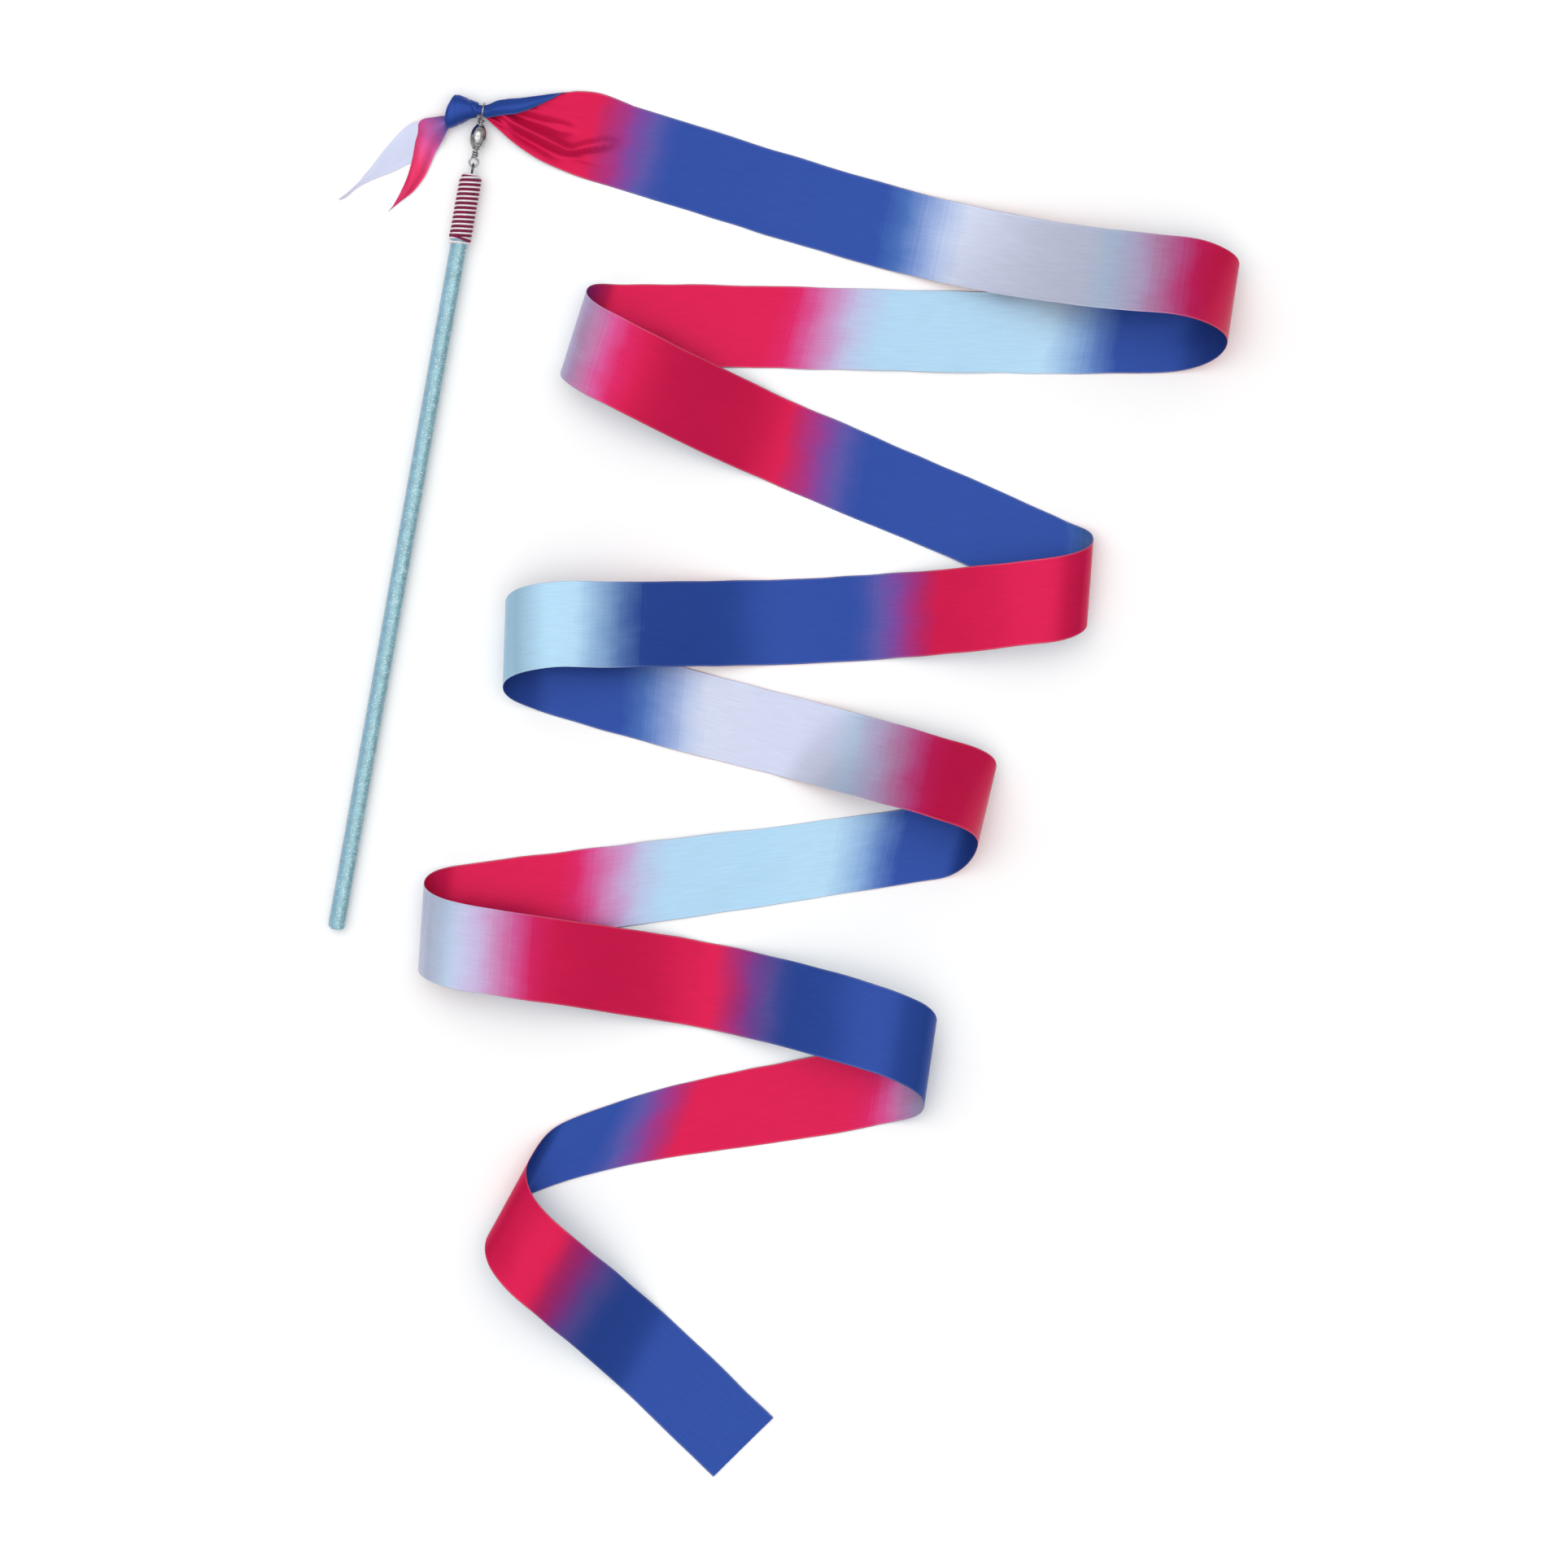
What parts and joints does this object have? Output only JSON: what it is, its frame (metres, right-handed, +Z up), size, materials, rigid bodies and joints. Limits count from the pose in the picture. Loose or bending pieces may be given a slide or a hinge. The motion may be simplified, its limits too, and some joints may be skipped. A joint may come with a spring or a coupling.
{
  "type": "ribbon wand",
  "caption": "Clear glitter rod with a twine-whipped tip and a wire barrel swivel that carries a long tie-dyed satin ribbon, laid out in folds.",
  "frame": {"origin": "under the middle of the whole outline, on the table the object lies on", "axes": "+Z up from the table, +Y the length of the laid-out ribbon towards the knot, +X from the rod towards the folds"},
  "size_m": [0.5416, 0.825, 0.0604],
  "materials": {
    "acrylic_rod": "clear cast acrylic with silver glitter",
    "steel_wire": "drawn wire",
    "crimson_twine": "twisted crimson cotton",
    "white_twine": "twisted white cotton",
    "nickel_plate": "bright nickel plate",
    "nickel_wire": "nickel-plated wire",
    "satin_ribbon": "tie-dyed double-faced satin"
  },
  "bodies": {
    "ribbon": {"ribbon": "satin_ribbon", "ribbon_knot": "satin_ribbon", "ribbon_tail": "satin_ribbon"},
    "upper_loop": {"swivel_loop_upper": "nickel_wire"},
    "barrel": {"swivel_barrel": "nickel_plate"},
    "lower_loop": {"swivel_loop_lower": "nickel_wire"},
    "wand": {"rod": "acrylic_rod", "screw_eye": "steel_wire", "whipping_crimson": "crimson_twine", "whipping_white": "white_twine"}
  },
  "joints": [
    {"name": "loop_on_neck", "type": "hinge", "parent": "ribbon", "child": "upper_loop", "pos_m": [-0.17872, 0.40037, 0.00704], "axis": [0.9842, -0.1771, 0], "range_deg": [-120, 120]},
    {"name": "barrel_spin", "type": "hinge", "parent": "upper_loop", "child": "barrel", "pos_m": [-0.18154, 0.3847, 0.00697], "axis": [0.1771, 0.9842, 0.0039], "continuous": true},
    {"name": "lower_loop_spin", "type": "hinge", "parent": "barrel", "child": "lower_loop", "pos_m": [-0.18154, 0.3847, 0.00697], "axis": [0.1771, 0.9842, 0.0039], "continuous": true},
    {"name": "wand_swing", "type": "hinge", "parent": "lower_loop", "child": "wand", "pos_m": [-0.18469, 0.36717, 0.0069], "axis": [0.9842, -0.1771, 0], "range_deg": [-70, 70]}
  ]
}
